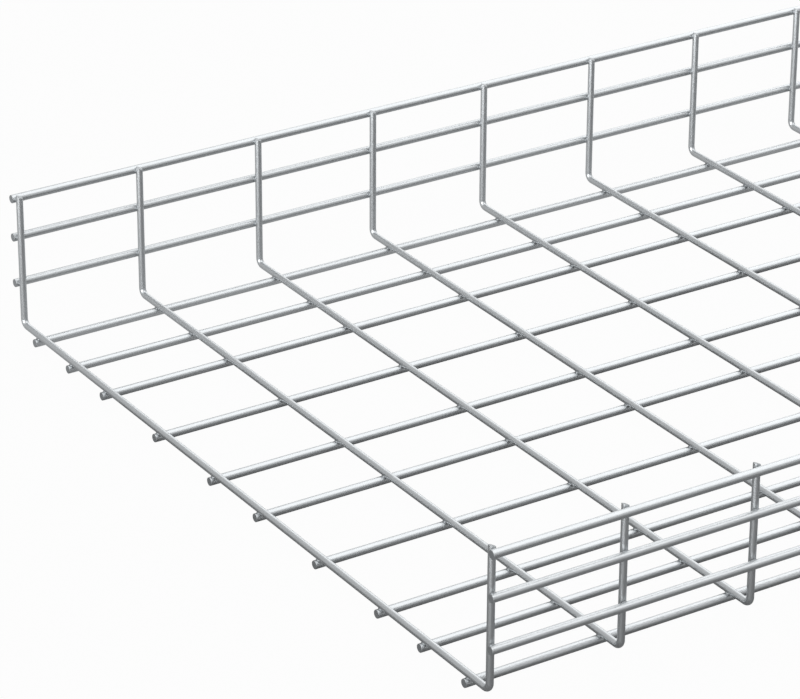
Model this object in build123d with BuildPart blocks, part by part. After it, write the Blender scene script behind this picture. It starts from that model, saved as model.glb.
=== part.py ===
# Wire mesh cable basket: one stock length of welded wire basket with an open top, 600 mm clear width.
# Thirty-one cross wires, each bent to a U, lie inside sixteen straight long wires: ten under the floor
# and three outside each wall. Every crossing is welded: the wires touch there, flat on flat.
# Millimetres. X runs along the basket, Z is up, and the floor's long wires rest on z = 0.
import math
import os

from build123d import *

# Wire. Each is a bar with few sides, as heavy as the round wire, with flats towards the wires it crosses.
LONG_WIRE_DIAMETER = 6.0
CROSS_WIRE_DIAMETER = 5.0
WIRE_SIDES = 8

# Length
BASKET_LENGTH = 3000.0  # over the outer faces of the two end cross wires
CROSS_WIRE_PITCH = 100.0
LONG_WIRE_STUB = 1.5  # how far each long wire stands out past the end cross wires

# Section
CLEAR_WIDTH = 600.0  # between the inner faces of the two walls
BEND_INSIDE_RADIUS = 2.5
FLOOR_WIRES_FROM_MIDDLE = (30.0, 105.0)  # each side of the middle line
FLOOR_WIRES_FROM_WALL = (120.0, 70.0, 20.0)  # in from each wall's inner face
# Heights above the centre line of the cross wires' floor run
WALL_WIRE_HEIGHTS = {"low": 31.5, "middle": 67.5, "top": 97.5}
TIP_HEIGHT = 99.6

# The bar's section: from centre line to flat, and the turn that faces flats, not corners, along its axes
flat_share = math.sqrt(math.pi / (WIRE_SIDES * math.tan(math.pi / WIRE_SIDES)))
long_flat = flat_share * LONG_WIRE_DIAMETER / 2
cross_flat = flat_share * CROSS_WIRE_DIAMETER / 2
flat_turn = 180 / WIRE_SIDES

# Places of the wires' centre lines, from the sizes above
floor_wire_z = long_flat
cross_floor_z = 2 * long_flat + cross_flat
cross_tip_z = cross_floor_z + TIP_HEIGHT
wall_wire_y = CLEAR_WIDTH / 2 + 2 * cross_flat + long_flat
bend_y = CLEAR_WIDTH / 2 - BEND_INSIDE_RADIUS
bend_z = cross_floor_z + cross_flat + BEND_INSIDE_RADIUS
end_cross_x = BASKET_LENGTH / 2 - cross_flat
long_wire_half = BASKET_LENGTH / 2 + LONG_WIRE_STUB

os.makedirs("parts", exist_ok=True)

# One cross wire in the plane x = 0: a bend, a leg and half of the floor run, and the same mirrored
with BuildPart() as bent_wire:
    with BuildSketch(Plane.XZ.offset(-bend_y)):
        with Locations((0, cross_floor_z)):
            RegularPolygon(cross_flat, WIRE_SIDES, major_radius=False, rotation=flat_turn)
    revolve(axis=Axis((0, bend_y, bend_z), (1, 0, 0)), revolution_arc=90)
    leg_root = bent_wire.faces().sort_by(Axis.Z)[-1]
    extrude(leg_root, amount=cross_tip_z - bend_z)
    floor_root = bent_wire.faces().sort_by(Axis.Y)[0]
    extrude(floor_root, amount=bend_y)
    mirror(about=Plane.XZ)

# Cross wires: at the regular pitch about the middle, with one more at each end
bay_count = round(BASKET_LENGTH / CROSS_WIRE_PITCH)
cross_places = [(bay - bay_count / 2) * CROSS_WIRE_PITCH for bay in range(1, bay_count)]
cross_places = [-end_cross_x, *cross_places, end_cross_x]
for number, cross_x in enumerate(cross_places, start=1):
    with BuildPart() as cross_wire:
        with Locations((cross_x, 0, 0)):
            add(bent_wire.part)
    cross_wire.part.label = f"cross_wire_{number:02d}"
    export_step(cross_wire.part, f"parts/cross_wire_{number:02d}.step")

# Long wires: ten under the floor, counted across from the right wall, and three outside each wall
half_floor = [*FLOOR_WIRES_FROM_MIDDLE, *(CLEAR_WIDTH / 2 - inset for inset in FLOOR_WIRES_FROM_WALL)]
floor_places = sorted([-floor_y for floor_y in half_floor] + half_floor)
long_wire_places = {
    f"floor_wire_{number:02d}": (floor_y, floor_wire_z)
    for number, floor_y in enumerate(floor_places, start=1)
}
for side, side_y in (("right", -wall_wire_y), ("left", wall_wire_y)):
    for level, height in WALL_WIRE_HEIGHTS.items():
        long_wire_places[f"{side}_wall_wire_{level}"] = (side_y, cross_floor_z + height)

for name, (wire_y, wire_z) in long_wire_places.items():
    with BuildPart() as long_wire:
        with BuildSketch(Plane.YZ.offset(-long_wire_half)):
            with Locations((wire_y, wire_z)):
                RegularPolygon(long_flat, WIRE_SIDES, major_radius=False, rotation=flat_turn)
        extrude(amount=2 * long_wire_half)
    long_wire.part.label = name
    export_step(long_wire.part, f"parts/{name}.step")
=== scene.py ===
# A straight length of welded wire cable basket, zinc plated, on a pale studio floor.
import math

import bmesh
import bpy
from mathutils import Matrix, Vector


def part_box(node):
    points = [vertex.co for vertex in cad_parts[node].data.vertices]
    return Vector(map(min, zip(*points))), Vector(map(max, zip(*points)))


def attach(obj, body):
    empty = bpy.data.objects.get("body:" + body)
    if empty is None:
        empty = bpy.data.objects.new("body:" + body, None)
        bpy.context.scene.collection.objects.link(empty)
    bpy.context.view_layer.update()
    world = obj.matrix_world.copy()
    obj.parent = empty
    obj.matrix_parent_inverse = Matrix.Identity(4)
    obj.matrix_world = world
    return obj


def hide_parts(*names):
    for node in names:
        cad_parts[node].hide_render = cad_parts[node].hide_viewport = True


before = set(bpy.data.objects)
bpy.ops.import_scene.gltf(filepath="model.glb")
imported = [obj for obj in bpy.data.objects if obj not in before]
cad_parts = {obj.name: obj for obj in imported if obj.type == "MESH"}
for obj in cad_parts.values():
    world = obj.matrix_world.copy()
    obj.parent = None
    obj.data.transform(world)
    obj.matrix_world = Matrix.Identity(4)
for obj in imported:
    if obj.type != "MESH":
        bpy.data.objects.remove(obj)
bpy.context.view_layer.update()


# Cross wires: 5 mm drawn steel wire, each sheared to length and bent twice into a U. They stand inside
# the basket, a bay apart, and the long wires are welded to their outside. The welded basket is zinc plated.
CROSS_WIRE_RADIUS = 0.0025
BEND_INSIDE_RADIUS = 0.0025
BEND_STEPS = 12
# Steps of the pattern from wire to wire are more than a wire's length, so that no two share a stretch of it
CROSS_WIRE_PATTERN_STEP = 1.0
WIRE_SEGMENTS = 28
# The shear leaves each tip slanted: higher outwards and towards the start of the basket
SHEARED_SLANT_ALONG = 0.42
SHEARED_SLANT_OUT = 0.12
SHEARED_RISE = 0.0008  # of the tip's middle above the solid's square end
SHEARED_RIM = 0.0002
SHEARED_RIM_SEGMENTS = 3
SHEARED_RIM_PROFILE = 0.5

ZINC_LIGHT = "ADB0B2"
ZINC_DULL = "A8ABAD"
ZINC_ROUGHNESS = (0.37, 0.40)
ZINC_CLOUD_SIZE = 0.009
ZINC_CLOUD_DETAIL = 3.0
# Real die lines are about a tenth of a millimetre apart: drawn coarser, so that they show up close
DIE_LINE_WIDTH = 0.0007
DIE_LINE_LENGTH = 0.12
DIE_LINE_DEPTH = 0.000002
DIE_LINE_DETAIL = 2.0
SHEARED_COLOUR = "8D9092"
SHEARED_ROUGHNESS = 0.55


def linear(hex_colour):
    """Turns an sRGB hex colour into the linear colour that a shader takes."""
    shares = [int(hex_colour[i : i + 2], 16) / 255 for i in (0, 2, 4)]
    lights = [s / 12.92 if s <= 0.04045 else ((s + 0.055) / 1.055) ** 2.4 for s in shares]
    return (*lights, 1.0)


def add_node(tree, kind, sockets=None, **settings):
    """Adds a node with its settings. A socket is given a value, or linked to another node's output."""
    node = tree.nodes.new(kind)
    for name, value in settings.items():
        setattr(node, name, value)
    for name, value in (sockets or {}).items():
        if isinstance(value, bpy.types.NodeSocket):
            tree.links.new(value, node.inputs[name])
        else:
            node.inputs[name].default_value = value
    return node


def new_tree(owner):
    """Empties the node tree of a material or world, to be built up from nothing."""
    owner.use_nodes = True
    owner.node_tree.nodes.clear()
    return owner.node_tree


def zinc_plated_wire():
    """Electroplated zinc over drawn wire: a satin grey metal, a little cloudy, with faint lines along the
    wire from the drawing die. The pattern follows the wire round its bends by the wire's own attribute."""
    material = bpy.data.materials.new("zinc_plated_drawn_wire")
    tree = new_tree(material)
    along = add_node(tree, "ShaderNodeAttribute", attribute_name="along_wire").outputs["Vector"]

    cloud_scale = (1 / ZINC_CLOUD_SIZE,) * 3
    cloud_place = add_node(tree, "ShaderNodeMapping", {"Vector": along, "Scale": cloud_scale})
    clouds = {"Vector": cloud_place.outputs["Vector"], "Scale": 1.0, "Detail": ZINC_CLOUD_DETAIL}
    cloud = add_node(tree, "ShaderNodeTexNoise", clouds).outputs["Fac"]
    shades = {"Factor": cloud, "A": linear(ZINC_DULL), "B": linear(ZINC_LIGHT)}
    shade = add_node(tree, "ShaderNodeMix", shades, data_type="RGBA").outputs["Result"]
    sheens = {"Value": cloud, "To Min": ZINC_ROUGHNESS[1], "To Max": ZINC_ROUGHNESS[0]}
    sheen = add_node(tree, "ShaderNodeMapRange", sheens).outputs["Result"]

    die_scale = (1 / DIE_LINE_WIDTH, 1 / DIE_LINE_WIDTH, 1 / DIE_LINE_LENGTH)
    die_place = add_node(tree, "ShaderNodeMapping", {"Vector": along, "Scale": die_scale})
    die_lines = {"Vector": die_place.outputs["Vector"], "Scale": 1.0, "Detail": DIE_LINE_DETAIL}
    die_line = add_node(tree, "ShaderNodeTexNoise", die_lines).outputs["Fac"]
    relief = add_node(tree, "ShaderNodeBump", {"Height": die_line, "Distance": DIE_LINE_DEPTH})

    finish = {
        "Base Color": shade,
        "Metallic": 1.0,
        "Roughness": sheen,
        "Normal": relief.outputs["Normal"],
    }
    surface = add_node(tree, "ShaderNodeBsdfPrincipled", finish)
    add_node(tree, "ShaderNodeOutputMaterial", {"Surface": surface.outputs["BSDF"]})
    return material


def plain_metal(name, colour, roughness):
    """A bare even metal, for places too small to show a pattern."""
    material = bpy.data.materials.new(name)
    tree = new_tree(material)
    finish = {"Base Color": linear(colour), "Metallic": 1.0, "Roughness": roughness}
    surface = add_node(tree, "ShaderNodeBsdfPrincipled", finish)
    add_node(tree, "ShaderNodeOutputMaterial", {"Surface": surface.outputs["BSDF"]})
    return material


zinc = zinc_plated_wire()
sheared_end = plain_metal("sheared_wire_end", SHEARED_COLOUR, SHEARED_ROUGHNESS)


def add_piece(name, mesh, materials):
    """Turns a finished bmesh into a piece of the basket."""
    data = bpy.data.meshes.new(name)
    mesh.to_mesh(data)
    mesh.free()
    for material in materials:
        data.materials.append(material)
    piece = bpy.data.objects.new(name, data)
    bpy.context.scene.collection.objects.link(piece)
    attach(piece, "root")
    return piece


class Wire:
    """A wire in the making: a round disc that is pushed and turned, and leaves the wire behind it. Each
    point keeps its place in the section and its length along the wire in the attribute along_wire."""

    def __init__(self, radius, pattern_start):
        self.mesh = bmesh.new()
        self.along = self.mesh.verts.layers.float_vector.new("along_wire")
        bmesh.ops.create_circle(self.mesh, cap_ends=True, segments=WIRE_SEGMENTS, radius=radius)
        self.length = pattern_start
        self.first_verts = list(self.mesh.verts)
        self.verts = self.first_verts
        self.rim = list(self.mesh.edges)
        for vert in self.verts:
            vert[self.along] = (vert.co.x, vert.co.y, self.length)

    def place(self, matrix):
        """Sets the disc down where the wire starts."""
        bmesh.ops.transform(self.mesh, matrix=matrix, verts=self.verts)

    def grow(self, added_length):
        """Leaves a new ring of points on the last one, to be moved on from there."""
        grown = bmesh.ops.extrude_edge_only(self.mesh, edges=self.rim)["geom"]
        self.verts = [item for item in grown if isinstance(item, bmesh.types.BMVert)]
        new = set(self.verts)
        edges = [item for item in grown if isinstance(item, bmesh.types.BMEdge)]
        self.rim = [edge for edge in edges if set(edge.verts) <= new]
        self.length += added_length
        for vert in self.verts:
            vert[self.along].z = self.length

    def push(self, move):
        """Runs the wire straight on."""
        self.grow(Vector(move).length)
        bmesh.ops.translate(self.mesh, verts=self.verts, vec=move)

    def bend(self, centre, radius, turn):
        """Turns the wire about an axis along the basket."""
        for _ in range(BEND_STEPS):
            self.grow(radius * abs(turn) / BEND_STEPS)
            step = Matrix.Rotation(turn / BEND_STEPS, 3, "X")
            bmesh.ops.rotate(self.mesh, verts=self.verts, cent=centre, matrix=step)

    def slant_tips(self):
        """Slants both ends of a cross wire, as the shear leaves them."""
        for tip in (self.first_verts, self.verts):
            middle = sum((vert.co for vert in tip), Vector()) / len(tip)
            slant_out = math.copysign(SHEARED_SLANT_OUT, middle.y)
            for vert in tip:
                away = vert.co - middle
                vert.co.z += SHEARED_RISE - SHEARED_SLANT_ALONG * away.x + slant_out * away.y

    def finish(self, node):
        """Closes the wire, rounds the rims of its sheared ends and puts it in the solid's place."""
        bmesh.ops.holes_fill(self.mesh, edges=self.rim, sides=0)
        bmesh.ops.recalc_face_normals(self.mesh, faces=self.mesh.faces)
        ends = [face for face in self.mesh.faces if len(face.verts) == WIRE_SEGMENTS]
        rims = [edge for face in ends for edge in face.edges]
        rim_faces = bmesh.ops.bevel(
            self.mesh,
            geom=rims,
            offset=SHEARED_RIM,
            segments=SHEARED_RIM_SEGMENTS,
            profile=SHEARED_RIM_PROFILE,
            affect="EDGES",
            material=-1,
        )["faces"]
        for face in self.mesh.faces:
            face.smooth = len(face.verts) != WIRE_SEGMENTS
            face.material_index = 0 if face.smooth else 1
        for face in rim_faces:
            face.material_index = 1
        piece = add_piece("drawn_" + node, self.mesh, (zinc, sheared_end))
        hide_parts(node)


cross_nodes = sorted(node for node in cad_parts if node.startswith("cross_wire_"))
for number, node in enumerate(cross_nodes):
    low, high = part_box(node)
    flat = (high.x - low.x) / 2
    cross_x = (high.x + low.x) / 2
    bend_radius = BEND_INSIDE_RADIUS + flat
    bend_y = high.y - flat - bend_radius
    bend_z = low.z + flat + bend_radius
    wire = Wire(CROSS_WIRE_RADIUS, CROSS_WIRE_PATTERN_STEP * number)
    wire.place(Matrix.Translation((cross_x, low.y + flat, high.z)))
    wire.push((0, 0, bend_z - high.z))
    wire.bend((cross_x, -bend_y, bend_z), bend_radius, math.pi / 2)
    wire.push((0, 2 * bend_y, 0))
    wire.bend((cross_x, bend_y, bend_z), bend_radius, math.pi / 2)
    wire.push((0, 0, high.z - bend_z))
    wire.slant_tips()
    wire.finish(node)


# Long wires: 6 mm drawn steel wire, straightened and sheared to the stock length. Ten lie under the
# cross wires in the floor and three outside each wall, and their sheared ends stand just past the end U.
LONG_WIRE_RADIUS = 0.003
LONG_WIRE_PATTERN_STEP = 4.0

long_nodes = sorted(set(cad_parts) - set(cross_nodes))
for number, node in enumerate(long_nodes):
    low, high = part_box(node)
    centre = (low + high) / 2
    pattern_start = CROSS_WIRE_PATTERN_STEP * len(cross_nodes) + LONG_WIRE_PATTERN_STEP * number
    wire = Wire(LONG_WIRE_RADIUS, pattern_start)
    start = Matrix.Translation((low.x, centre.y, centre.z))
    wire.place(start @ Matrix.Rotation(math.pi / 2, 4, "Y"))
    wire.push((high.x - low.x, 0, 0))
    wire.finish(node)


# Welds: every crossing is resistance welded. The two wires are pressed a little into each other, and a
# thin collar of metal is squeezed out round the contact. It is plated with the rest, duller than the wire.
WELD_REACH = 0.0024
WELD_HALF_THICKNESS = 0.0010
WELD_SEGMENTS = 10
WELD_RINGS = 4
WELD_COLOUR = "929597"
WELD_ROUGHNESS = 0.6

weld_metal = plain_metal("plated_weld_collar", WELD_COLOUR, WELD_ROUGHNESS)
cross_boxes = [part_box(node) for node in cross_nodes]
for long_node in long_nodes:
    long_low, long_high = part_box(long_node)
    welds = bmesh.new()
    for cross_low, cross_high in cross_boxes:
        contact = (long_low + long_high) / 2
        contact.x = (cross_low.x + cross_high.x) / 2
        size = Vector((WELD_REACH, WELD_REACH, WELD_REACH))
        if long_node.startswith("floor"):
            contact.z = cross_low.z
            size.z = WELD_HALF_THICKNESS
        else:
            contact.y = cross_high.y if long_node.startswith("left") else cross_low.y
            size.y = WELD_HALF_THICKNESS
        bmesh.ops.create_uvsphere(
            welds,
            u_segments=WELD_SEGMENTS,
            v_segments=WELD_RINGS,
            radius=1,
            matrix=Matrix.Translation(contact) @ Matrix.Diagonal((*size, 1)),
        )
    for face in welds.faces:
        face.smooth = True
    add_piece("welds_" + long_node, welds, (weld_metal,))


# Camera: at the photograph's place and angle, worked out from the wires' centre lines. It looks down
# into the basket from outside the right wall, near the start of the length.
CAMERA_PLACE = (-2.650764, -1.995993, 1.239423)
CAMERA_AZIMUTH = 32.705
CAMERA_ELEVATION = 26.054
CAMERA_ROLL = 0.2747
CAMERA_LENS = 176.604
CAMERA_SENSOR_WIDTH = 36.0

lens = bpy.data.cameras.new("studio_camera")
lens.lens = CAMERA_LENS
lens.sensor_width = CAMERA_SENSOR_WIDTH
lens.sensor_fit = "HORIZONTAL"
camera = bpy.data.objects.new("studio_camera", lens)
heading = Matrix.Rotation(math.radians(-CAMERA_AZIMUTH), 4, "Z")
tilt = Matrix.Rotation(math.radians(90 - CAMERA_ELEVATION), 4, "X")
roll = Matrix.Rotation(math.radians(CAMERA_ROLL), 4, "Z")
camera.matrix_world = Matrix.Translation(CAMERA_PLACE) @ heading @ tilt @ roll
bpy.context.scene.collection.objects.link(camera)
bpy.context.scene.camera = camera
bpy.context.scene.view_settings.view_transform = "Standard"


# Studio: a plain paper floor that reads white to the eye and keeps a faint shadow. In the metal it is grey,
# with a painted pool of light that whitens it under the left wall, at the back of the picture, so that the
# wires there show a painted reflection. One very broad soft light overhead to the right, a weak one from
# behind and one low from the front left.
FLOOR_HALF = 40.0
FLOOR_COLOUR = "969696"
FLOOR_WHITE_TO_EYE = 0.97
# Painted pool of light, seen only in the metal: how white at the near and at the far end of this stretch
# of metres across the basket
FLOOR_PAINTED_LIGHT_IN_METAL = {"From Min": 0.15, "From Max": 0.32, "To Min": 0.0, "To Max": 0.65}
AIR_WHITE_TO_EYE = 1.0
AIR_WHITE_IN_METAL = 0.9
AIR_LIGHT = 0.1
TOP_LIGHT = {"strength": 1.95, "width": 80, "left": -108, "height": 70}
BACK_LIGHT = {"strength": 0.7, "width": 50, "left": -165, "height": 25}
FRONT_LIGHT = {"strength": 4.7, "width": 60, "left": 28, "height": 8}


def white_share(tree, to_eye, in_metal):
    """How white a background is to the camera's own rays, and to those off metal or through glass."""
    path = add_node(tree, "ShaderNodeLightPath").outputs
    rays = {0: path["Is Glossy Ray"], 1: path["Is Transmission Ray"]}
    bounced = add_node(tree, "ShaderNodeMath", rays, operation="MAXIMUM").outputs[0]
    bounced_share = {0: bounced, 1: in_metal}
    reflected = add_node(tree, "ShaderNodeMath", bounced_share, operation="MULTIPLY").outputs[0]
    shares = {0: path["Is Camera Ray"], 1: to_eye, 2: reflected}
    return add_node(tree, "ShaderNodeMath", shares, operation="MULTIPLY_ADD").outputs[0]


floor_mesh = bmesh.new()
bmesh.ops.create_grid(floor_mesh, x_segments=1, y_segments=1, size=FLOOR_HALF)
floor_data = bpy.data.meshes.new("studio_floor")
floor_mesh.to_mesh(floor_data)
floor_mesh.free()
floor = bpy.data.objects.new("studio_floor", floor_data)
bpy.context.scene.collection.objects.link(floor)
paper = bpy.data.materials.new("pale_studio_paper")
tree = new_tree(paper)
matt = add_node(tree, "ShaderNodeBsdfDiffuse", {"Color": linear(FLOOR_COLOUR)})
white = add_node(tree, "ShaderNodeEmission", {"Strength": 1.0})
# Painted light: the floor's glow in the metal grows across the basket, a pool of light painted towards the
# left wall
place = add_node(tree, "ShaderNodeTexCoord").outputs["Object"]
across = add_node(tree, "ShaderNodeSeparateXYZ", {"Vector": place}).outputs["Y"]
in_metal = add_node(tree, "ShaderNodeMapRange", {"Value": across, **FLOOR_PAINTED_LIGHT_IN_METAL})
sides = {
    0: white_share(tree, FLOOR_WHITE_TO_EYE, in_metal.outputs["Result"]),
    1: matt.outputs["BSDF"],
    2: white.outputs["Emission"],
}
seen_floor = add_node(tree, "ShaderNodeMixShader", sides)
add_node(tree, "ShaderNodeOutputMaterial", {"Surface": seen_floor.outputs["Shader"]})
floor_data.materials.append(paper)

world = bpy.data.worlds.new("studio_air")
tree = new_tree(world)
strengths = {0: white_share(tree, AIR_WHITE_TO_EYE, AIR_WHITE_IN_METAL), 1: AIR_LIGHT}
strength = add_node(tree, "ShaderNodeMath", strengths, operation="MAXIMUM")
glow = {"Color": (1, 1, 1, 1), "Strength": strength.outputs[0]}
air = add_node(tree, "ShaderNodeBackground", glow)
add_node(tree, "ShaderNodeOutputWorld", {"Surface": air.outputs["Background"]})
bpy.context.scene.world = world


def broad_light(name, strength, width, left, height):
    """A broad even light, width degrees across, from so far left of the camera and so high, in degrees."""
    lamp = bpy.data.lights.new(name, "SUN")
    lamp.energy = strength
    lamp.angle = math.radians(width)
    holder = bpy.data.objects.new(name, lamp)
    holder.rotation_euler = (math.radians(90 - height), 0, math.radians(-CAMERA_AZIMUTH - left))
    bpy.context.scene.collection.objects.link(holder)


broad_light("overhead_light", **TOP_LIGHT)
broad_light("back_light", **BACK_LIGHT)
broad_light("front_left_light", **FRONT_LIGHT)
